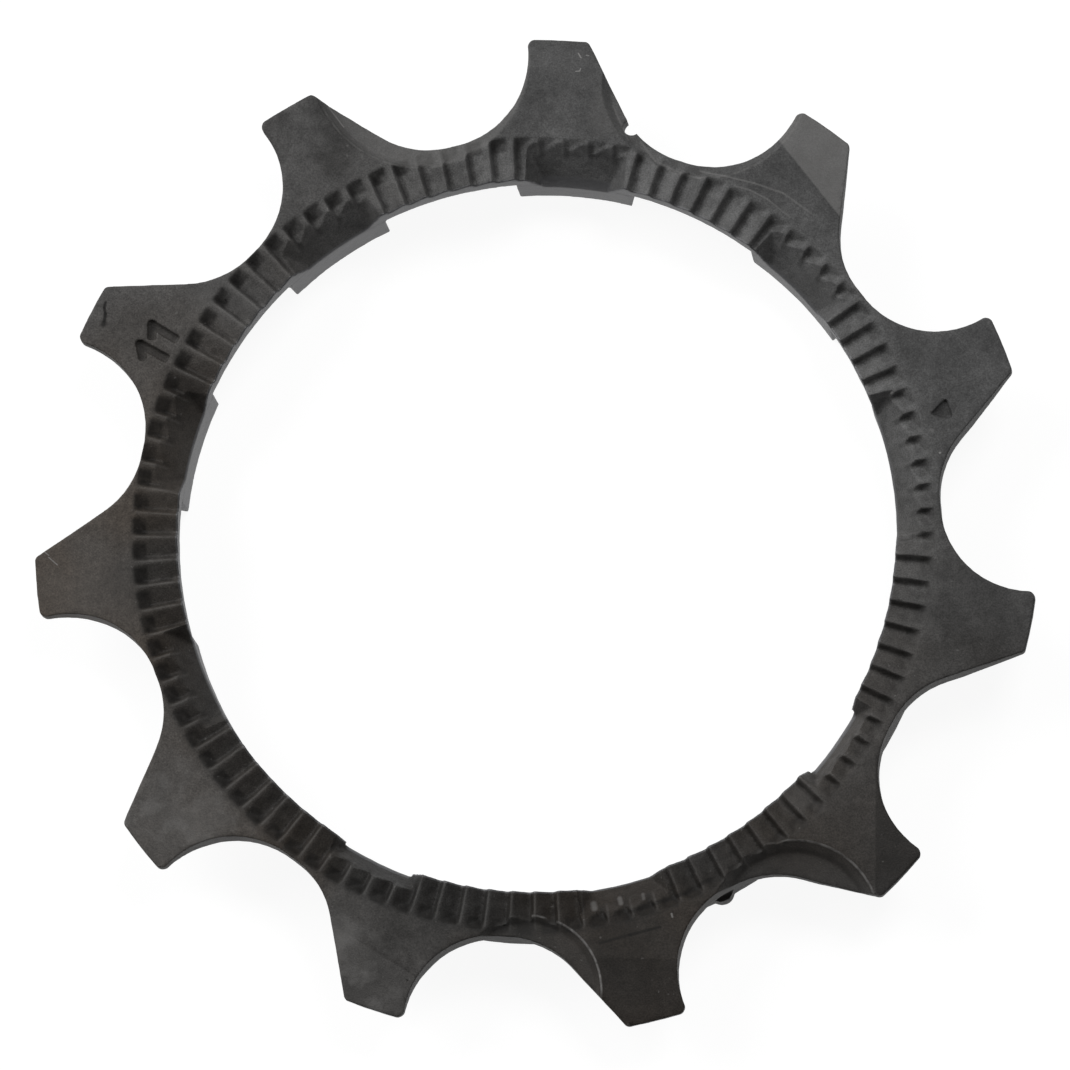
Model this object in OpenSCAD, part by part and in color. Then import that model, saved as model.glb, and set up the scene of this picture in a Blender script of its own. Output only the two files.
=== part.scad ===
// First-position bicycle cassette cog, forged in one piece with its spacer ring.
// The back face of the spacer lies on z = 0 and the serrated outer face looks up.
// Sizes are in millimetres. Angles are in degrees, counter-clockwise from +X seen from above.

/* [Teeth] */
// Number of teeth
tooth_count = 11; // [11:1:15]
// Pitch of the chain
chain_pitch = 12.7; // [12:0.1:16]
// Depth of a gullet's bottom below the pitch circle
gullet_drop = 3.87; // [3.2:0.01:4]
// Radius of the two arcs that make a gullet
seat_r = 4.18; // [3.6:0.02:4.6]
// Distance between the centres of a gullet's two arcs
seat_stretch = 0.45; // [0.1:0.05:1]
// Shift of both arcs towards the clockwise side
seat_lean = 0.175; // [0:0.025:0.4]
// Slant of the straight flank against the gullet's own centre line
flank_angle = 46; // [40:1:50]
// Height of the tips above the pitch circle
tip_rise = 0.66; // [0.3:0.02:0.8]
// Radius of the corners at a tip
tip_corner_r = 0.4; // [0.2:0.05:0.5]
// Direction of the first gullet
first_gullet = 4.9; // [0:0.1:30]

/* [Plate and spacer ring] */
// Thickness of the whole cog, back face to serrated face
total_h = 4.34; // [3.6:0.02:5.4]
// Thickness of the toothed plate
plate_t = 1.78; // [1.4:0.02:2.2]
// Thickness left at the tips by the bevel on the back
tip_t = 0.8; // [0.5:0.05:1.2]
// Width of that bevel, inwards from the tips
tip_bevel_w = 2.5; // [1.5:0.1:3]
// Wall of the spacer ring outside the spline grooves
ring_wall = 1.45; // [1:0.05:1.6]
// Chamfer round the back of the spacer ring
ring_chamfer = 0.2; // [0.1:0.05:0.4]

/* [Bore and spline] */
// Diameter of the bore, at the lip and at the key tips
bore_d = 33.1; // [27:0.1:33.4]
// Depth of the spline grooves outside the bore
groove_depth = 0.55; // [0.3:0.05:0.7]
// Thickness of the lip that closes the grooves at the front
lip_t = 1.4; // [1:0.05:1.7]
// Number of spline keys
key_count = 9; // [6:1:9]
// Width of a key
key_angle = 18.3; // [12:0.5:20]
// Width that the first key has beyond the others, on its counter-clockwise side
wide_key_extra = 8; // [0:0.5:10]
// Direction of the middle of the first key, its extra width left aside
first_key = 5; // [0:0.1:30]

/* [Serrated face] */
// Number of serrations
serration_count = 100; // [60:1:110]
// Width of the serrated band outside the bore
serration_w = 1.95; // [1.2:0.05:2]
// Depth of the serrations
serration_depth = 0.4; // [0.2:0.05:0.5]
// Width of the steep side of a serration
serration_steep = 0.2; // [0.1:0.02:0.3]
// Width of the flat left between two serrations at the bore
serration_crest = 0.12; // [0.03:0.01:0.2]
// Length over which a serration runs out at its outer end
serration_runout = 0.5; // [0.1:0.05:0.6]
// Direction of the first steep side
first_serration = -0.4; // [-3:0.1:3]
// Distance of the serrated band's centre from the bore's centre
die_shift = 0.12; // [0:0.02:0.2]
// Direction of that distance
die_direction = 160; // [0:5:355]

/* [Scoops over the keys] */
// Reach of a common scoop outside the bore, at the face
scoop_reach = 1.3; // [0.8:0.05:1.6]
// Depth of a scoop at the bore
scoop_depth = 1.5; // [1.4:0.05:2]
// Width of the slanted end of a scoop
scoop_end = 0.9; // [0.3:0.05:1.1]

/* [Shift ramps] */
// Steepness of the step at the edge of a ramp
ramp_step = 55; // [35:1:65]
// Depth of the step round the shallowest ramp
ramp_depth = 0.3; // [0.1:0.05:0.5]
// Slant of a whole ramp, deeper towards its counter-clockwise end
ramp_slant = 2; // [1:0.5:4]
// Fall of a ramp's floor towards the middle of its gullet
ramp_fall = 10; // [4:1:14]
// Slant of the facets on the tooth tips
facet_slope = 8; // [4:1:10]

/* [Marks] */
// Direction of the triangle that marks the wide key
mark_direction = 17.1; // [14:0.1:20]
// Distance of that triangle's base outside the bottoms of the gullets
mark_rise = 1.22; // [1:0.02:1.5]
// Length of its base
mark_side = 1; // [0.8:0.1:1.6]
// Depth of the triangle
mark_depth = 0.22; // [0.1:0.02:0.3]
// Direction of the nib on the spacer ring
nib_direction = 297.8; // [290:0.2:305]
// Width of the nib
nib_w = 1.2; // [0.8:0.1:2]
// Height of the nib outside the spacer ring
nib_rise = 0.28; // [0.2:0.02:0.6]
// Direction of the small notch in one flank
notch_direction = 77.6; // [77:0.1:78.5]
// Distance of the notch's middle outside the bottoms of the gullets
notch_rise = 0.88; // [0.6:0.02:1.2]
// Radius of the notch
notch_r = 0.36; // [0.2:0.02:0.5]

/* [Hidden] */
$fn = 96;
over = 0.5;

pitch_r = chain_pitch / 2 / sin(180 / tooth_count);
tooth_step = 360 / tooth_count;
root_r = pitch_r - gullet_drop;
tip_r = pitch_r + tip_rise;
bore_r = bore_d / 2;
groove_r = bore_r + groove_depth;
ring_r = groove_r + ring_wall;
plate_z = total_h - plate_t;
band_r = bore_r + serration_w;
key_step = 360 / key_count;

// Middles of a gullet's two arcs, with the gullet's centre line on +X
seat_x = root_r + seat_r;
seat_low = [seat_x, -seat_lean - seat_stretch / 2];
seat_high = [seat_x, -seat_lean + seat_stretch / 2];

// Where the straight flank leaves the upper arc, and its direction
flank_dir = [cos(flank_angle), sin(flank_angle)];
flank_normal = [-sin(flank_angle), cos(flank_angle)];
flank_start = seat_high + seat_r * flank_normal;

// The round corners of a tip run this far past the curves that they join
corner_bite = 0.015;
corner_far = tip_r - tip_corner_r + corner_bite;

// Middle of the corner on the straight flank
function along(start) =
    let (b = start * flank_dir, c = start * start)
    -b + sqrt(b * b - c + corner_far * corner_far);
lead_base = flank_start + (tip_corner_r - corner_bite) * flank_normal;
lead_corner = lead_base + along(lead_base) * flank_dir;

// Middle of the corner on the curved flank, which is part of the lower arc
seat_far = norm(seat_low);
trail_near = seat_r + tip_corner_r - corner_bite;
trail_turn = acos((corner_far * corner_far + seat_far * seat_far - trail_near * trail_near)
    / (2 * corner_far * seat_far));
trail_at = atan2(seat_low[1], seat_low[0]) - trail_turn;
trail_corner = corner_far * [cos(trail_at), sin(trail_at)];

// Tail of one wedge that trims a sharp corner back to its round one
function beyond(p, reach) = p * (1 + reach / norm(p));

// Scoops, one for each key: turn against the key, width less than the key's, reach and depth
// beyond the common ones, and how far the key's tip stands back from the bore
SCOOPS = [
    [1.5, 1, -0.1, 0, 0],
    [0.2, 1.2, 0.15, 0.2, 0],
    [-0.4, 2, 0.45, 0.5, 0],
    [-0.2, 1, 0.1, 0, 0],
    [0, 1.2, 0.1, 0, 0],
    [-2, 1.2, -0.1, 0, 0],
    [-0.6, 2.6, -0.35, 0.6, 0.13],
    [-1, 3, 0.15, 0, 0],
    [0.3, 2.8, -0.3, 0.8, 0.15]
];

// Ramps in the gullets: number of the gullet, middle outwards from the gullet's bottom, middle
// across the gullet, radius at the face, depth beyond the shallowest one
RAMPS = [
    [2, 4.07, 0, 4.75, 0],
    [3, 4.22, 0.35, 5.05, 0.05],
    [8, 2.42, 1, 3.4, 0.1],
    [9, 3.02, 1.55, 3.9, 0.35]
];

// Facets on the tips: number of the tooth, start inwards from the tip, turn against the tooth
FACETS = [
    [1, 2.28, -16.5],
    [2, 1.95, -16.8],
    [7, 2.45, -13.6],
    [8, 2.95, -15.1],
    [9, 1.65, 43.6]
];

// One gullet with its centre line on +X, open towards the outside
module gullet() {
    translate(seat_low) circle(seat_r);
    translate(seat_high) circle(seat_r);
    far = 2 * seat_r;
    polygon([
        seat_low + [0, -seat_r],
        seat_low + [far, -seat_r],
        flank_start + far * flank_dir + [far, 0],
        flank_start + far * flank_dir,
        flank_start,
        seat_high
    ]);
}

// What is cut away between a sharp corner and its round one
module lead_trim() {
    difference() {
        polygon([
            lead_corner,
            lead_corner - 3 * tip_corner_r * flank_normal,
            beyond(lead_corner, 1) + 2 * flank_dir,
            beyond(lead_corner, 1)
        ]);
        circle(corner_far);
        translate(lead_corner) circle(tip_corner_r);
    }
}

module trail_trim() {
    inward = (seat_low - trail_corner) / norm(seat_low - trail_corner);
    difference() {
        polygon([
            trail_corner,
            trail_corner + 2 * tip_corner_r * inward,
            beyond(trail_corner, 1) + inward,
            beyond(trail_corner, 1)
        ]);
        circle(corner_far);
        translate(trail_corner) circle(tip_corner_r);
    }
}

// Outline of the toothed plate
module tooth_outline() {
    difference() {
        circle(tip_r);
        for (i = [0 : tooth_count - 1]) {
            rotate(first_gullet + i * tooth_step) {
                gullet();
                lead_trim();
                trail_trim();
            }
        }
    }
}

// Bevel that thins the teeth towards their tips, on the back, run on a little past them
module tip_bevel() {
    past = 0.4;
    steep = (plate_t - tip_t) / tip_bevel_w;
    rotate_extrude() {
        polygon([
            [tip_r - tip_bevel_w - past, plate_z - steep * past],
            [tip_r + past, plate_z + plate_t - tip_t + steep * past],
            [tip_r + past, plate_z - over],
            [tip_r - tip_bevel_w - past, plate_z - over]
        ]);
    }
}

module toothed_plate() {
    difference() {
        translate([0, 0, plate_z]) linear_extrude(plate_t) tooth_outline();
        tip_bevel();
    }
}

module spacer_ring() {
    cylinder(h = ring_chamfer, r1 = ring_r - ring_chamfer, r2 = ring_r);
    translate([0, 0, ring_chamfer]) cylinder(h = plate_z, r = ring_r);
}

// Flat sector from the centre, between two directions
module sector(from, to, reach) {
    steps = 6;
    polygon(concat([[0, 0]], [
        for (i = [0 : steps])
        let (a = from + (to - from) * i / steps)
        reach * [cos(a), sin(a)]
    ]));
}

// Widths and middles of the keys, the first one with its extra width
function key_width(i) = key_angle + (i == 0 ? wide_key_extra : 0);
function key_middle(i) = first_key + i * key_step + (i == 0 ? wide_key_extra / 2 : 0);

// Bore with the spline grooves between the keys, closed by the lip at the front
module splined_bore() {
    translate([0, 0, -over]) cylinder(h = total_h + 2 * over, r = bore_r);
    translate([0, 0, -over]) linear_extrude(total_h - lip_t + over) difference() {
        circle(groove_r);
        for (i = [0 : key_count - 1])
            rotate(key_middle(i)) sector(-key_width(i) / 2, key_width(i) / 2, groove_r + 1);
    }
    for (i = [0 : key_count - 1])
        if (SCOOPS[i][4] > 0) rotate(key_middle(i)) short_tip(key_width(i) / 2, SCOOPS[i][4]);
}

// What is taken off the tip of a key that stands back, its middle on +X, a little wider than it
module short_tip(half, recess) {
    past = 0.5;
    translate([0, 0, -over]) linear_extrude(total_h - lip_t + over) intersection() {
        circle(bore_r + recess);
        sector(-half - past, half + past, groove_r + 1);
    }
}

// One groove of the serrated face, along +X, with its steep side counter-clockwise.
// Its sides run on a little above the face.
module serration(outer_r) {
    width = 2 * PI * bore_r / serration_count - serration_crest;
    lead_in = 0.15;
    lift = 0.01;
    grow = 1 + lift / serration_depth;
    intersection() {
        translate([bore_r - lead_in, 0, total_h]) rotate([90, 0, 90])
            linear_extrude(outer_r + over - bore_r)
                polygon([
                    [0, -serration_depth],
                    [serration_steep * grow, lift],
                    [(serration_steep - width) * grow, lift]
                ]);
        translate([0, width, total_h]) rotate([90, 0, 0]) linear_extrude(2 * width)
            polygon([
                [bore_r - 2 * lead_in, 2 * lift],
                [bore_r - 2 * lead_in, -2 * serration_depth],
                [outer_r - 2 * serration_runout, -2 * serration_depth],
                [outer_r + 2 * lift * serration_runout / serration_depth, 2 * lift]
            ]);
    }
}

module serrations() {
    for (i = [0 : serration_count - 1]) {
        at = first_serration + i * 360 / serration_count;
        rotate(at) serration(band_r + die_shift * cos(at - die_direction));
    }
}

// One scoop pressed into the lip over a key, its middle on +X, run on past the face and the bore
module scoop(width, reach, depth) {
    half = bore_r * sin(width / 2);
    past = 0.25;
    slope = reach / depth;
    slant = scoop_end / depth;
    intersection() {
        translate([0, 0, total_h - depth - past])
            cylinder(
                h = depth + 2 * past,
                r1 = bore_r - slope * past,
                r2 = bore_r + reach + slope * past
            );
        translate([bore_r / 2, 0, total_h]) rotate([90, 0, 90]) linear_extrude(bore_r)
            polygon([
                [-half - slant * past, past],
                [-half + slant * (depth + past), -depth - past],
                [half - slant * (depth + past), -depth - past],
                [half + slant * past, past]
            ]);
    }
}

module scoops() {
    for (i = [0 : key_count - 1]) {
        s = SCOOPS[i];
        rotate(key_middle(i) + s[0])
            scoop(key_width(i) - s[1], scoop_reach + s[2], scoop_depth + s[3]);
    }
}

// One ramp sunk round a gullet: a steep round step down to a floor that falls towards its
// middle, all of it leaning a little
module ramp(r, depth) {
    past = 0.5;
    run = 1 / tan(ramp_step);
    floor_r = r - depth * run;
    translate([0, 0, total_h]) rotate([-ramp_slant, 0, 0]) rotate_extrude()
        polygon([
            [0, -depth - floor_r * tan(ramp_fall)],
            [floor_r, -depth],
            [r + past * run, past],
            [0, past]
        ]);
}

module ramps() {
    for (p = RAMPS)
        rotate(first_gullet + p[0] * tooth_step)
            translate([root_r + p[1], p[2], 0]) ramp(p[3], ramp_depth + p[4]);
}

// Slanted facets that thin some tips from the front
module facets() {
    size = 0.6 * chain_pitch;
    past = 1;
    tip_middle = 0.53; // share of the way from one gullet to the next
    for (f = FACETS)
        rotate(first_gullet + (f[0] + tip_middle) * tooth_step)
            translate([tip_r - f[1], 0, total_h])
            rotate(f[2]) rotate([0, facet_slope, 0]) translate([-past, -size / 2, 0])
            cube(size);
}

// Triangle beside the wide key, one point towards the bore
module index_mark() {
    rotate(mark_direction) translate([root_r + mark_rise, 0, total_h - mark_depth])
        linear_extrude(mark_depth + over) polygon([
            [0, -mark_side / 2],
            [0, mark_side / 2],
            [-mark_side * 0.9, 0]
        ]);
}

// Nib left on the outside of the spacer ring
module nib() {
    nib_low = 0.3;
    nib_h = 1.3;
    rotate(nib_direction) translate([ring_r + nib_rise - nib_w / 2, 0, nib_low])
        cylinder(h = nib_h, d = nib_w);
}

module flank_notch() {
    rotate(notch_direction) translate([root_r + notch_rise, 0, plate_z - over])
        cylinder(h = plate_t + 2 * over, r = notch_r);
}

module cog() {
    color([0.27, 0.27, 0.27]) difference() {
        union() {
            toothed_plate();
            spacer_ring();
            nib();
        }
        splined_bore();
        serrations();
        scoops();
        ramps();
        facets();
        index_mark();
        flank_notch();
    }
}

cog();
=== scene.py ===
import math

import bpy
from mathutils import Matrix, Vector


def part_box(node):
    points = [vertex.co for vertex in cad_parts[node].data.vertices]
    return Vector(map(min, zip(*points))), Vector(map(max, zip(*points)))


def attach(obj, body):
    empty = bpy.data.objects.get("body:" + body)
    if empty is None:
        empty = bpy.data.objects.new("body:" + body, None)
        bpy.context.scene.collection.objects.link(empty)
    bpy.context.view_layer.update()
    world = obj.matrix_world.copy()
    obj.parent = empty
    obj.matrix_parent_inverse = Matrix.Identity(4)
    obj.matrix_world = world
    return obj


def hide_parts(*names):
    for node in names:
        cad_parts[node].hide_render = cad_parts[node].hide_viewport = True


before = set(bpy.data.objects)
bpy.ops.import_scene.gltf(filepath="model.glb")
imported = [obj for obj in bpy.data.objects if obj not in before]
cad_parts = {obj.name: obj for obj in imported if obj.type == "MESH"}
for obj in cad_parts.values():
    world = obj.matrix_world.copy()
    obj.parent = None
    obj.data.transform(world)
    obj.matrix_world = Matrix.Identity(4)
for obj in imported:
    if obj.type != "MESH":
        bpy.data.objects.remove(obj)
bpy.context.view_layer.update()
low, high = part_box("cog")
mm = 0.001                      # sizes below are in millimetres, as in the part's source
cogHeight = (high.z - low.z) / mm
print("frame loaded, cog", round(cogHeight, 3), "mm thick")


def onlySelect(thing):
    bpy.ops.object.select_all(action="DESELECT")
    thing.select_set(True)
    bpy.context.view_layer.objects.active = thing


def applyAll(thing):
    onlySelect(thing)
    for modifier in list(thing.modifiers):
        bpy.ops.object.modifier_apply(modifier=modifier.name)


def bakePlace(thing):           # place, turn and size go into the mesh
    onlySelect(thing)
    bpy.ops.object.transform_apply(location=True, rotation=True, scale=True)


# The cog: a copy of the CAD solid with forged edges and an uneven skin.
# Places on the face are (x, y) in millimetres from the bore's middle.
cog = {
    "voxel": 0.055,             # grid on which the forged edges are rounded
    "edgeSoftening": 3,         # smoothing rounds after that
    "unevenness": 0.035,        # depth of the shallow waves left by the forging
    "waveSize": 1.6,
    "pitting": 0.014,           # depth of the fine roughness
    "pitSize": 0.3,
    "bandInner": 16.4,          # the serrated band is rougher than the rest
    "bandOuter": 18.75,
    "bandDepth": 1.6,           # how far below the face that goes
    "bandRoughness": 0.09,
    "bandLumpSize": 0.55,
    "triangles": 190000,
    "digitStroke": 0.36,        # the plain tooth count, 11, stamped on one tooth
    "digitDepth": 0.22,
    "digits": [                 # foot, top and end of the flag of each digit
        ((-17.27, 8.25), (-18.40, 8.86), (-18.31, 8.30)),
        ((-16.82, 9.15), (-17.87, 9.78), (-17.88, 9.26)),
    ],
}


def copyOfNode(name):
    onlySelect(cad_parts[name])
    bpy.ops.object.duplicate()
    piece = bpy.context.view_layer.objects.active
    piece.parent = None
    piece.matrix_world = Matrix.Identity(4)
    for key in list(piece.keys()):
        del piece[key]
    bpy.ops.object.mode_set(mode="EDIT")
    bpy.ops.mesh.select_all(action="SELECT")
    bpy.ops.mesh.remove_doubles(threshold=1e-7)
    bpy.ops.object.mode_set(mode="OBJECT")
    return piece


def cutWith(piece, tool):
    cut = piece.modifiers.new("cut", "BOOLEAN")
    cut.operation = "DIFFERENCE"
    cut.object = tool
    applyAll(piece)
    bpy.data.objects.remove(tool)


def stroke(start, end):         # one straight cut of the stamp, a little wider at the face
    run = Vector(end) - Vector(start)
    bpy.ops.mesh.primitive_cube_add(size=1)
    bar = bpy.context.object
    bar.scale = (run.length + cog["digitStroke"], cog["digitStroke"], 2 * cog["digitDepth"])
    bar.rotation_euler = (0, 0, math.atan2(run.y, run.x))
    middle = (Vector(start) + Vector(end)) / 2
    bar.location = (middle.x, middle.y, cogHeight)
    bakePlace(bar)
    return bar


def stampDigits(piece):
    for foot, top, flag in cog["digits"]:
        cutWith(piece, stroke(foot, top))
        cutWith(piece, stroke(top, flag))


def addRoughness(piece, name, size, depth, group=""):
    clouds = bpy.data.textures.new(name, "CLOUDS")
    clouds.noise_scale = size
    clouds.noise_depth = 2
    rough = piece.modifiers.new(name, "DISPLACE")
    rough.texture = clouds
    rough.texture_coords = "LOCAL"
    rough.strength = depth
    rough.mid_level = 0.85      # mostly inwards, so that the size is kept
    rough.vertex_group = group


def bandGroup(piece):           # the serrated band, fading out at both sides
    group = piece.vertex_groups.new(name="band")
    middle = (cog["bandInner"] + cog["bandOuter"]) / 2
    half = (cog["bandOuter"] - cog["bandInner"]) / 2
    for vertex in piece.data.vertices:
        if vertex.co.z > cogHeight - cog["bandDepth"]:
            weight = 1.5 * (1 - abs(vertex.co.xy.length - middle) / half)     # full over the middle third
            if weight > 0:
                group.add([vertex.index], min(1, weight), "REPLACE")


def forgeSkin(piece):
    remesh = piece.modifiers.new("forging", "REMESH")
    remesh.mode = "VOXEL"
    remesh.voxel_size = cog["voxel"]
    soften = piece.modifiers.new("edges", "SMOOTH")
    soften.factor = 0.5
    soften.iterations = cog["edgeSoftening"]
    applyAll(piece)
    bandGroup(piece)
    addRoughness(piece, "waves", cog["waveSize"], cog["unevenness"])
    addRoughness(piece, "lumps", cog["bandLumpSize"], cog["bandRoughness"], "band")
    addRoughness(piece, "pits", cog["pitSize"], cog["pitting"])
    applyAll(piece)
    thin = piece.modifiers.new("triangles", "DECIMATE")
    thin.ratio = cog["triangles"] / (2 * len(piece.data.polygons))      # each is a quad, so two triangles
    applyAll(piece)
    piece.vertex_groups.clear()


body = copyOfNode("cog")
body.name = "cog_forged"
bpy.ops.transform.resize(value=(1 / mm, 1 / mm, 1 / mm))
bakePlace(body)
stampDigits(body)
print("number stamped")
forgeSkin(body)
onlySelect(body)
bpy.ops.transform.resize(value=(mm, mm, mm))
bakePlace(body)
bpy.ops.object.shade_smooth()
print("cog forged,", len(body.data.polygons), "faces")

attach(body, "root")
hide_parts("cog")

# Wear follows the edges, and painted shade the hollows
onlySelect(body)
body.data.color_attributes.new("wearAndShade", "FLOAT_COLOR", "POINT")
bpy.ops.paint.vertex_color_dirt(
    blur_strength=1,
    blur_iterations=2,
    clean_angle=math.radians(180),
    dirt_angle=0,
    dirt_only=False,
    normalize=True,
)
shades = sorted(point.color[0] for point in body.data.color_attributes["wearAndShade"].data)
flatShade = shades[len(shades) // 2]    # what a level face got, darker is a hollow and lighter an edge
print("wear painted, a level face got", round(flatShade, 3))

# Dark phosphated steel. Directions are in degrees. A span is where a change begins and ends, in
# millimetres from the bore's middle in that direction. Pattern sizes count how often they repeat
# in a metre, and all other sizes are in millimetres.
steel = {
    "dark": (0.053, 0.053, 0.053, 1),
    "light": (0.078, 0.078, 0.078, 1),
    "brown": (0.062, 0.054, 0.047, 1),
    # grime, which is also painted shade, and worn steel, which is also painted light
    "grimeAndShade": (0.008, 0.0075, 0.007, 1),
    "wornAndLit": (0.22, 0.215, 0.21, 1),
    "bare": (0.12, 0.12, 0.123, 1),     # broached walls of the bore and the grooves
    "bareInside": 16.68,                # radius of the bore's wall
    "grooveInside": 17.2,               # radius of the grooves' wall, below the lip
    "lip": 1.5,
    "roughness": 0.58,
    "bareRoughness": 0.50,
    "bareMetallic": 0.6,
    "shine": 0.15,
    "blotchSize": 500,
    "brownSize": 110,
    "mottleSize": 2300,
    "mottleRange": (0.85, 1.15),
    "grainSize": 14000,
    "grainRange": (0.7, 1.3),
    "grainDepth": 0.03,
    "speckSize": 4200,
    "speckLight": 0.2,
    "shadedSide": 293,                    # where the colour is painted darker, as painted shade
    "shadedSpan": (4, 20),
    "paintedShadeLevel": 0.55,                  # what is left of the colour there
    "warmSide": 235,                    # where it turns brown and warmer
    "brownSpan": (-12, 10),
    "warmSpan": (-20, 20),
    "warmth": (1, 0.955, 0.91, 1),
    "rubbedSide": 232,                  # the most mottled teeth
    "rubbedSpan": (17, 21),
    "rubbedSize": 1100,
    "rubbedLight": 0.22,
    "padLitSide": 55,                      # where the serrated band is painted lightest, as painted light on its pads
    "padLitSpan": (-16, 16),
    "padLightRange": (0.58, 1.4),            # its colour at the dark and at the light end, painted shade and painted light
    "padOuter": 18.9,                   # the band ends here, fading out over half a millimetre
    "shadedWallSide": 285,                    # where the outer walls are painted dark, as painted shade on the side away from the light
    "shadedWallSpan": (10, 15),
    "wallInner": 17.7,
    "shadedWallDepth": 0.4,                   # the painted shade starts this far below the face
    "wallShade": 0.3,
    "hollowShade": 0.8,                  # painted shade in the hollows that the vertex painting found
    "edgeLight": 0.4,                   # on the edges that it found
    "digitDirt": 0.5,
    "serrations": 100,                  # as in the part's source, for the painted shade between them
    "firstSerration": -0.4,
    "bandEnd": 18.5,
    "bandShift": 0.12,                  # how far the band is off the bore's middle, and where to
    "bandSide": 160,
    "shadeNoiseSize": 1500,                   # the noise that breaks this painted shade up
    "shadeDepth": 0.8,                   # it reaches this far below the face
    "pocketLength": 0.65,               # painted shadow at the outer ends of the serrations
    "pocketShade": 0.7,
    "pocketSide": 190,                  # where there is most of it
    "pocketSpan": (-12, 4),
    "smoothPlace": (1.19, 18.36),       # the scoop where there is none
    "smoothReach": 2.0,
    "grooveShade": 0.45,                 # painted shade along the steep sides
    "crestHighlight": 0.10,                 # wear and a painted highlight on what is left of the face between them
    "rimSize": 2600,                    # the noise that breaks the ramps' rims up
    "rimWidth": 0.07,
    "facetReach": 4.8,                  # a facet's painted light ends this far from its line's start
}

# Scratches and dents, with a dent and the band's outer end painted as dark shade: start, end, width, and
# how light (over 0) or dark (under 0)
marks = [
    # a dent, painted as its dark shadow
    ((-20.05, 10.83), (-20.11, 10.58), 0.13, -0.9),
    ((-20.11, 10.58), (-20.05, 10.29), 0.13, -0.9),
    ((-20.05, 10.29), (-20.10, 9.95), 0.15, -0.9),
    ((-20.12, 9.86), (-20.15, 9.80), 0.24, -0.8),
    ((-20.17, 10.72), (-20.50, 10.66), 0.12, -0.3),
    ((-9.86, 20.06), (-9.15, 19.14), 0.06, 0.4),
    ((7.43, 16.99), (9.93, 16.38), 0.08, 0.26),
    ((9.93, 16.38), (11.27, 15.91), 0.09, 0.26),
    ((11.27, 15.91), (12.57, 14.97), 0.09, 0.22),
    ((9.05, 16.24), (9.75, 16.05), 0.08, 0.22),
    ((9.75, 16.05), (10.54, 15.63), 0.08, 0.22),
    ((10.54, 15.63), (11.60, 14.78), 0.08, 0.18),
    ((-22.70, -0.85), (-22.50, -1.00), 0.05, 0.6),
    ((-22.50, -1.10), (-22.10, -1.45), 0.05, 0.6),
    ((3.15, -18.96), (4.52, -18.58), 0.13, -0.7),
    ((4.52, -18.58), (5.90, -18.21), 0.13, -0.7),
    # painted shade along the serrated band's outer end
    ((4.60, -17.45), (7.04, -16.65), 0.18, -0.6),
    ((7.04, -16.65), (8.15, -16.00), 0.20, -0.6),
    ((2.78, -17.05), (2.85, -17.30), 0.26, 0.32),
    ((3.98, -16.80), (4.06, -17.05), 0.20, 0.32),
    ((5.05, -16.60), (5.10, -16.85), 0.14, 0.25),
    ((4.64, 18.41), (5.34, 17.47), 0.10, 0.20),
    ((5.34, 17.47), (6.50, 16.90), 0.10, 0.20),
    ((6.50, 16.90), (7.43, 16.62), 0.10, 0.18),
    ((4.08, 18.45), (3.34, 20.10), 0.08, 0.20),
    ((18.60, 5.62), (18.90, 5.70), 0.50, -0.45),
    ((18.15, 4.85), (18.25, 4.80), 0.15, 0.25),
    ((18.57, 3.77), (18.60, 3.77), 0.08, 0.9),
    ((16.30, 6.58), (16.35, 6.60), 0.08, 0.9),
    ((1.73, 22.53), (1.85, 22.33), 0.06, 0.9),
    ((2.10, 22.44), (2.22, 22.42), 0.05, 0.7),
    ((1.62, 21.66), (1.80, 21.68), 0.05, 0.8),
    ((1.80, 21.68), (1.85, 21.80), 0.05, 0.8),
    ((6.42, -17.60), (6.46, -17.75), 0.08, 0.6),
]

# Worn edges round the ramps with a painted highlight, and a painted sheen on the floor inside: middle,
# radius, the most worn side, how light that is, and how light the floor inside is
rims = [
    ((7.65, 21.42), 4.78, 300, 0.25, 0.04),
    ((-5.52, 22.22), 5.08, 240, 0.30, 0.20),
    ((-0.21, -21.11), 3.43, 30, 0.80, 0.06),
    ((12.01, -18.13), 3.95, 40, 0.60, 0.06),
]

# Facets painted lighter or darker, as painted light and shade on their tilt: a place on their edge, the
# direction outwards, and how light
paintedFacets = [
    ((12.52, 16.49), 38.5, 0.36),
    ((1.31, 21.08), 70.9, 0.04),
    ((-7.20, -19.30), 237.7, 0.10),
    ((5.07, -19.62), 268.9, -0.25),
    ((15.71, -14.84), 0.4, -0.40),
]

# Patches painted lighter or darker, as painted light and shade: middle, reach, and how light
paintedPatches = [
    ((-9.9, 19.0), 2.2, -0.45),
    ((4.6, -18.9), 2.6, -0.40),
    ((20.3, -3.4), 4.0, -0.18),
    ((-6.2, -18.4), 2.2, -0.20),
    ((-0.4, -20.0), 2.6, -0.10),
    ((-8.5, -18.6), 1.2, 0.16),
    ((-15.2, -13.2), 1.4, 0.12),
    ((3.5, 19.7), 1.3, 0.14),
    ((-10.4, 13.1), 1.8, 0.06),
    ((-15.9, 4.4), 1.8, 0.08),
    ((-16.3, 6.5), 1.8, -0.50),
    ((-14.2, 10.3), 2.2, 0.14),
    ((-19.5, -2.0), 1.8, -0.20),
    ((12.3, -12.1), 1.5, 0.14),
    ((12.8, 11.9), 1.5, 0.08),
    ((-21.3, -2.3), 2.6, 0.08),
    ((-16.8, -13.8), 3.0, 0.10),
    ((-17.2, 2.1), 1.5, 0.06),
    ((-7.4, 15.9), 1.5, 0.07),
]


def addNode(tree, kind, **values):
    node = tree.nodes.new(kind)
    for name, value in values.items():
        setattr(node, name, value)
    return node


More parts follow.
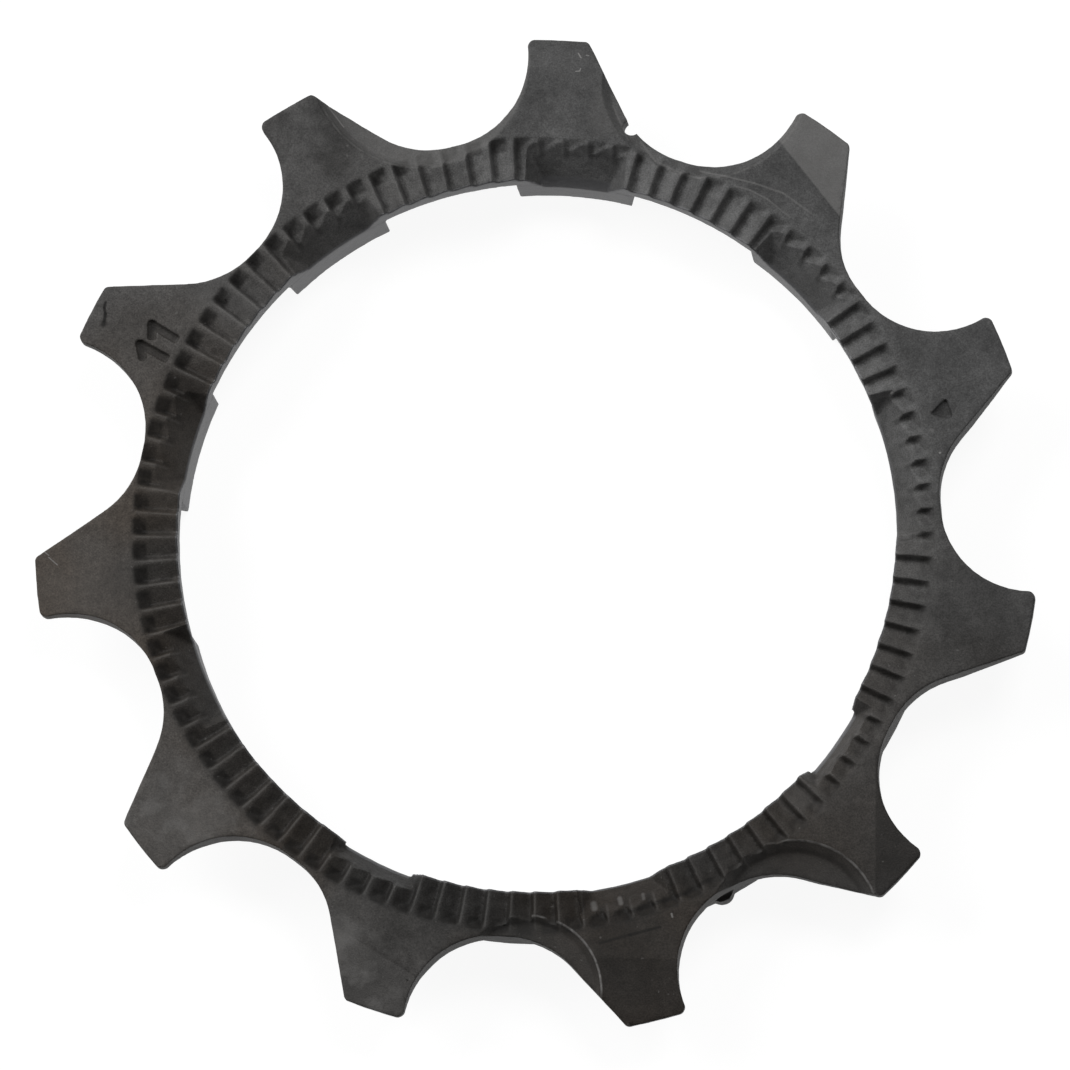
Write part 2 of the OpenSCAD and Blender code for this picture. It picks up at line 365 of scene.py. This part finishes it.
def feed(tree, socket, value):
    if isinstance(value, bpy.types.NodeSocket):
        tree.links.new(value, socket)
    else:
        socket.default_value = value


def mixColours(tree, factor, first, second, mode="MIX"):
    mix = addNode(tree, "ShaderNodeMix", data_type="RGBA", blend_type=mode)
    feed(tree, mix.inputs[0], factor)
    feed(tree, mix.inputs[6], first)        # sockets 6 and 7 are its two colours
    feed(tree, mix.inputs[7], second)
    return mix.outputs[2]


def compute(tree, operation, first, second=0.0):
    node = addNode(tree, "ShaderNodeMath", operation=operation)
    feed(tree, node.inputs[0], first)
    feed(tree, node.inputs[1], second)
    return node.outputs[0]


def product(tree, first, *others):
    for other in others:
        first = compute(tree, "MULTIPLY", first, other)
    return first


def ramp(tree, value, start, end, low=0.0, high=1.0):
    span = addNode(tree, "ShaderNodeMapRange")
    span.inputs["From Min"].default_value = start
    span.inputs["From Max"].default_value = end
    span.inputs["To Min"].default_value = low
    span.inputs["To Max"].default_value = high
    tree.links.new(value, span.inputs["Value"])
    return span.outputs["Result"]


def window(tree, value, start, end, fade):      # 1 between two values, and 0 outside
    return product(tree, ramp(tree, value, start, start + fade), ramp(tree, value, end, end - fade))


def noise(tree, place, scale, detail=3):
    cloud = addNode(tree, "ShaderNodeTexNoise")
    cloud.inputs["Scale"].default_value = scale
    cloud.inputs["Detail"].default_value = detail
    tree.links.new(place, cloud.inputs["Vector"])
    return cloud.outputs["Fac"]


def vectorMath(tree, operation, first, second=None, output="Vector"):
    node = addNode(tree, "ShaderNodeVectorMath", operation=operation)
    feed(tree, node.inputs[0], first)
    if second is not None:
        feed(tree, node.inputs[1], second)
    return node.outputs[output]


def offsetFrom(tree, place, middle):            # middle is (x, y) in millimetres
    return vectorMath(tree, "SUBTRACT", place, (middle[0] * mm, middle[1] * mm, 0))


def lengthOf(tree, vector):
    return vectorMath(tree, "LENGTH", vector, None, "Value")


def towards(tree, place, degrees):              # distance from the middle in one direction
    around = math.radians(degrees)
    return vectorMath(tree, "DOT_PRODUCT", place, (math.cos(around), math.sin(around), 0), "Value")


def fadeTowards(tree, place, degrees, span, low=0.0, high=1.0):
    return ramp(tree, towards(tree, place, degrees), span[0] * mm, span[1] * mm, low, high)


# The masks are 1 inside and 0 outside, for places on the face as seen from above
def markMask(tree, flat, start, end, width):    # the line between two places
    run = Vector((end[0] - start[0], end[1] - start[1], 0)) * mm
    offset = offsetFrom(tree, flat, start)
    share = vectorMath(tree, "DOT_PRODUCT", offset, tuple(run), "Value")
    share = ramp(tree, share, 0, run.length_squared)
    scaled = addNode(tree, "ShaderNodeVectorMath", operation="SCALE")
    scaled.inputs[0].default_value = tuple(run)
    tree.links.new(share, scaled.inputs["Scale"])
    away = lengthOf(tree, vectorMath(tree, "SUBTRACT", offset, scaled.outputs[0]))
    return ramp(tree, away, width * mm * 0.75, width * mm * 0.25)


def rimMask(tree, flat, middle, radius, side):  # one side of a circle
    offset = offsetFrom(tree, flat, middle)
    away = compute(tree, "SUBTRACT", lengthOf(tree, offset), radius * mm)
    width = steel["rimWidth"]
    line = ramp(tree, compute(tree, "ABSOLUTE", away), width * mm, (width - 0.05) * mm)
    return product(tree, line, fadeTowards(tree, offset, side, (0.3 * radius, 0.8 * radius)))


def discMask(tree, flat, middle, radius):
    return ramp(tree, lengthOf(tree, offsetFrom(tree, flat, middle)), radius * mm, (radius - 0.15) * mm)


def facetMask(tree, flat, start, degrees):      # beyond a line across one tooth
    offset = offsetFrom(tree, flat, start)
    reach = steel["facetReach"]
    return product(tree, fadeTowards(tree, offset, degrees, (0, 0.08)),
                   ramp(tree, lengthOf(tree, offset), reach * mm, (reach - 0.3) * mm))


def patchMask(tree, flat, cloud, middle, reach):    # a round patch with an uneven edge
    away = compute(tree, "ADD", lengthOf(tree, offsetFrom(tree, flat, middle)),
                   ramp(tree, cloud, 0.3, 0.7, -0.8 * mm, 0.8 * mm))
    return ramp(tree, away, reach * mm, reach * mm * 0.3)


def tint(tree, colour, amount, light):          # towards worn steel and painted light over 0, towards grime and painted shade under 0
    return mixColours(tree, product(tree, amount, abs(light)), colour,
                      steel["wornAndLit"] if light > 0 else steel["grimeAndShade"])


def phosphate(tree, place, radius, grain):      # the finish as it left the works, and its shades, with painted shade towards one side and painted light and shade on the serrated band
    blotches = noise(tree, place, steel["blotchSize"], 5)
    colour = mixColours(tree, ramp(tree, blotches, 0.35, 0.65), steel["dark"], steel["light"])
    brown = product(tree, ramp(tree, noise(tree, place, steel["brownSize"], 2), 0.42, 0.62),
                    fadeTowards(tree, place, steel["warmSide"], steel["brownSpan"]))
    colour = mixColours(tree, brown, colour, steel["brown"])

    mottle = noise(tree, place, steel["mottleSize"], 3)
    # painted light and shade on the serrated band: lighter on one side, darker on the other
    pads = fadeTowards(tree, place, steel["padLitSide"], steel["padLitSpan"], *steel["padLightRange"])
    onBand = ramp(tree, radius, steel["padOuter"] * mm, (steel["padOuter"] - 0.5) * mm)
    pads = compute(tree, "ADD", product(tree, compute(tree, "SUBTRACT", pads, 1), onBand), 1)
    # painted shade: the colour darker towards one side
    darker = fadeTowards(tree, place, steel["shadedSide"], steel["shadedSpan"], 1, steel["paintedShadeLevel"])
    shade = product(tree, darker, ramp(tree, grain, 0.3, 0.7, *steel["grainRange"]),
                    ramp(tree, mottle, 0.3, 0.7, *steel["mottleRange"]), pads)
    dimmer = addNode(tree, "ShaderNodeCombineColor")
    for socket in dimmer.inputs[:3]:
        tree.links.new(shade, socket)
    colour = mixColours(tree, 1.0, colour, dimmer.outputs[0], "MULTIPLY")
    warmer = fadeTowards(tree, place, steel["warmSide"], steel["warmSpan"])
    colour = mixColours(tree, warmer, colour, mixColours(tree, 1.0, colour, steel["warmth"], "MULTIPLY"))
    return colour, blotches


# painted shade on the outer walls, on the side away from the light
def outerWallShade(tree, colour, place, radius, height):
    start = high.z - steel["shadedWallDepth"] * mm
    walls = product(tree, ramp(tree, radius, steel["wallInner"] * mm, (steel["wallInner"] + 0.15) * mm),
                    ramp(tree, height, start, start - 0.2 * mm),
                    fadeTowards(tree, place, steel["shadedWallSide"], steel["shadedWallSpan"]))
    return tint(tree, colour, walls, -steel["wallShade"])


# painted light and shade in patches and on facets, then the rubbed teeth
def paintedPatchesFacetsAndRubbing(tree, colour, place, flat, blotches):
    for middle, reach, light in paintedPatches:
        colour = tint(tree, colour, patchMask(tree, flat, blotches, middle, reach), light)
    for start, degrees, light in paintedFacets:
        colour = tint(tree, colour, facetMask(tree, flat, start, degrees), light)
    rubbed = product(tree, fadeTowards(tree, place, steel["rubbedSide"], steel["rubbedSpan"]),
                     ramp(tree, noise(tree, place, steel["rubbedSize"], 4), 0.48, 0.66))
    return tint(tree, colour, rubbed, steel["rubbedLight"])


# painted shadow in the pockets at the serrations' outer ends, painted shade along their steep sides, and
# wear and painted highlight on the crests
def serrationLightAndShade(tree, colour, place, flat, radius, height):
    start = high.z - steel["shadeDepth"] * mm
    near = product(tree, ramp(tree, height, start, start + 0.2 * mm),
                   ramp(tree, noise(tree, place, steel["shadeNoiseSize"], 2), 0.3, 0.55, 0.4, 1))
    around = compute(tree, "ARCTAN2", towards(tree, place, 90), towards(tree, place, 0))
    around = compute(tree, "SUBTRACT", around, math.radians(steel["firstSerration"]))
    turns = compute(tree, "DIVIDE", around, 2 * math.pi / steel["serrations"])
    share = compute(tree, "FRACT", compute(tree, "ADD", turns, 0.7))    # deepest at 0.7
    shift = product(tree, towards(tree, place, steel["bandSide"]), steel["bandShift"] / steel["bandEnd"])
    away = compute(tree, "SUBTRACT", radius, shift)
    end = steel["bandEnd"] * mm
    pocketStart = end - steel["pocketLength"] * mm
    smooth = steel["smoothReach"] * mm
    pocket = product(tree, window(tree, away, pocketStart, end + 0.15 * mm, 0.15 * mm),
                     window(tree, share, 0.1, 0.9, 0.15),
                     fadeTowards(tree, place, steel["pocketSide"], steel["pocketSpan"], 0.4, 1),
                     ramp(tree, lengthOf(tree, offsetFrom(tree, flat, steel["smoothPlace"])),
                          smooth - 0.5 * mm, smooth))
    band = window(tree, away, steel["bareInside"] * mm, end, 0.2 * mm)
    groove = product(tree, band, window(tree, share, 0.56, 0.88, 0.1))
    crest = product(tree, band, window(tree, share, 0.86, 1.0, 0.05))
    colour = tint(tree, colour, product(tree, pocket, near), -steel["pocketShade"])
    colour = tint(tree, colour, product(tree, groove, near), -steel["grooveShade"])
    return tint(tree, colour, product(tree, crest, near), steel["crestHighlight"])


def digitDirt(tree, colour, flat):
    for foot, top, flag in cog["digits"]:
        for start, end in ((foot, top), (top, flag)):
            stamped = markMask(tree, flat, start, end, cog["digitStroke"])
            colour = tint(tree, colour, stamped, -steel["digitDirt"])
    return colour


def edgeWearAndHollowShade(tree, colour, place):
    wearAndShade = addNode(tree, "ShaderNodeVertexColor", layer_name="wearAndShade").outputs["Color"]
    # painted shade: the hollows that the vertex painting found are darkened
    hollows = ramp(tree, wearAndShade, flatShade - 0.02, flatShade - 0.15, 0, steel["hollowShade"])
    colour = mixColours(tree, hollows, colour, steel["grimeAndShade"])
    speck = ramp(tree, noise(tree, place, steel["speckSize"], 1), 0.74, 0.80, 0, steel["speckLight"])
    edges = ramp(tree, wearAndShade, flatShade + 0.12, flatShade + 0.4, 0, steel["edgeLight"])
    return tint(tree, colour, compute(tree, "MAXIMUM", edges, speck), 1)


def paintedRimsAndMarks(tree, colour, place, flat, height):
    top = product(tree, ramp(tree, height, high.z - 0.3 * mm, high.z - 0.2 * mm),
                  ramp(tree, noise(tree, place, steel["rimSize"], 2), 0.35, 0.6, 0.25, 1))
    # painted sheen on each ramp's floor, and wear with a painted highlight on its rim
    for middle, reach, side, light, floorSheen in rims:
        colour = tint(tree, colour, discMask(tree, flat, middle, reach), floorSheen)
        rim = product(tree, rimMask(tree, flat, middle, reach, side), top)
        colour = tint(tree, colour, rim, light)
    # scratches, specks and dents, some of the dark lines being painted shadow
    for start, end, width, light in marks:
        colour = tint(tree, colour, markMask(tree, flat, start, end, width), light)
    return colour


def bareMask(tree, radius, height):             # the broached walls, the grooves' only below the lip
    edge = steel["bareInside"] * mm
    groove = steel["grooveInside"] * mm
    lip = high.z - steel["lip"] * mm
    return compute(tree, "MAXIMUM", ramp(tree, radius, edge, edge - 0.05 * mm),
                   product(tree, ramp(tree, radius, groove, groove - 0.05 * mm),
                           ramp(tree, height, lip, lip - 0.1 * mm)))


def phosphatedSteel():
    material = bpy.data.materials.new("phosphatedSteel")
    material.use_nodes = True
    tree = material.node_tree
    shader = tree.nodes["Principled BSDF"]
    place = addNode(tree, "ShaderNodeTexCoord").outputs["Object"]
    flat = vectorMath(tree, "MULTIPLY", place, (1, 1, 0))
    radius = lengthOf(tree, flat)
    height = vectorMath(tree, "DOT_PRODUCT", place, (0, 0, 1), "Value")
    grain = noise(tree, place, steel["grainSize"], 2)

    colour, blotches = phosphate(tree, place, radius, grain)
    colour = outerWallShade(tree, colour, place, radius, height)
    colour = paintedPatchesFacetsAndRubbing(tree, colour, place, flat, blotches)
    colour = serrationLightAndShade(tree, colour, place, flat, radius, height)
    colour = digitDirt(tree, colour, flat)
    colour = edgeWearAndHollowShade(tree, colour, place)
    colour = paintedRimsAndMarks(tree, colour, place, flat, height)
    bare = bareMask(tree, radius, height)
    colour = mixColours(tree, bare, colour, steel["bare"])
    tree.links.new(colour, shader.inputs["Base Color"])
    tree.links.new(ramp(tree, bare, 0, 1, 0, steel["bareMetallic"]), shader.inputs["Metallic"])
    tree.links.new(ramp(tree, bare, 0, 1, steel["roughness"], steel["bareRoughness"]),
                   shader.inputs["Roughness"])
    shader.inputs["Specular IOR Level"].default_value = steel["shine"]

    bump = addNode(tree, "ShaderNodeBump")
    bump.inputs["Strength"].default_value = 0.6
    bump.inputs["Distance"].default_value = steel["grainDepth"] * mm
    tree.links.new(grain, bump.inputs["Height"])
    tree.links.new(bump.outputs["Normal"], shader.inputs["Normal"])
    return material


body.data.materials.clear()
body.data.materials.append(phosphatedSteel())
print("steel ready")

studio = {
    "floorSize": 1.6,
    "floorColour": (0.12, 0.12, 0.12, 1),
    "floorGlow": 0.92,          # seen by the camera and in reflections only
    "worldStrength": 0.15,
    "lamps": [                  # name, place in metres, size, power
        ("windowLight", (-0.44, 0.27, 0.39), 0.40, 3.2),
        ("topLight", (0.16, 0.24, 0.46), 0.20, 1.2),
    ],
}


def paleFloor():
    bpy.ops.mesh.primitive_plane_add(size=studio["floorSize"], location=(0, 0, low.z - 0.02 * mm))
    floor = bpy.context.object
    floor.name = "floor"
    material = bpy.data.materials.new("paleFloor")
    material.use_nodes = True
    tree = material.node_tree
    shader = tree.nodes["Principled BSDF"]
    shader.inputs["Base Color"].default_value = studio["floorColour"]
    shader.inputs["Roughness"].default_value = 0.9
    path = addNode(tree, "ShaderNodeLightPath").outputs
    seen = compute(tree, "MAXIMUM", path["Is Camera Ray"], path["Is Glossy Ray"])
    seen = compute(tree, "MAXIMUM", seen, path["Is Transmission Ray"])
    shader.inputs["Emission Color"].default_value = (1, 1, 1, 1)
    tree.links.new(product(tree, seen, studio["floorGlow"]), shader.inputs["Emission Strength"])
    floor.data.materials.append(material)


def areaLight(name, place, size, power):        # aimed at the cog
    bpy.ops.object.light_add(type="AREA", location=place)
    lamp = bpy.context.object
    lamp.name = name
    lamp.data.size = size
    lamp.data.energy = power
    lamp.rotation_euler = (-Vector(place)).to_track_quat("-Z", "Y").to_euler()


paleFloor()
for lampValues in studio["lamps"]:
    areaLight(*lampValues)

world = bpy.data.worlds.new("studio")
bpy.context.scene.world = world
world.use_nodes = True
world.node_tree.nodes["Background"].inputs["Color"].default_value = (1, 1, 1, 1)
world.node_tree.nodes["Background"].inputs["Strength"].default_value = studio["worldStrength"]

view = {                        # the photograph's camera, found from the cog's outline
    "distance": 618.7,          # from the serrated face
    "tiltX": -0.1522,           # turns about the picture's axes
    "tiltY": -0.0689,
    "pixelsPerMm": 21.73,       # at the serrated face
    "middleX": 0.6755,          # the bore's middle against the frame's, in pixels
    "middleY": 1.2042,
    "frameWidth": 1070,
}


def photoCamera():
    turn = Matrix.Rotation(view["tiltY"], 3, "Y") @ Matrix.Rotation(view["tiltX"], 3, "X")
    back = turn.transposed()    # columns: right, up and towards the camera
    scale = view["pixelsPerMm"]
    shift = Vector((-view["middleX"] / scale, -view["middleY"] / scale, view["distance"]))
    place = Vector((0, 0, high.z)) + back @ shift * mm
    bpy.ops.object.camera_add()
    camera = bpy.context.object
    camera.matrix_world = Matrix.Translation(place) @ back.to_4x4()
    focus = scale * view["distance"]
    camera.data.sensor_width = 36
    camera.data.lens = focus / view["frameWidth"] * camera.data.sensor_width
    camera.data.clip_start = 0.05
    camera.data.clip_end = 10
    bpy.context.scene.camera = camera


photoCamera()
bpy.context.scene.view_settings.view_transform = "Standard"
print("studio ready")
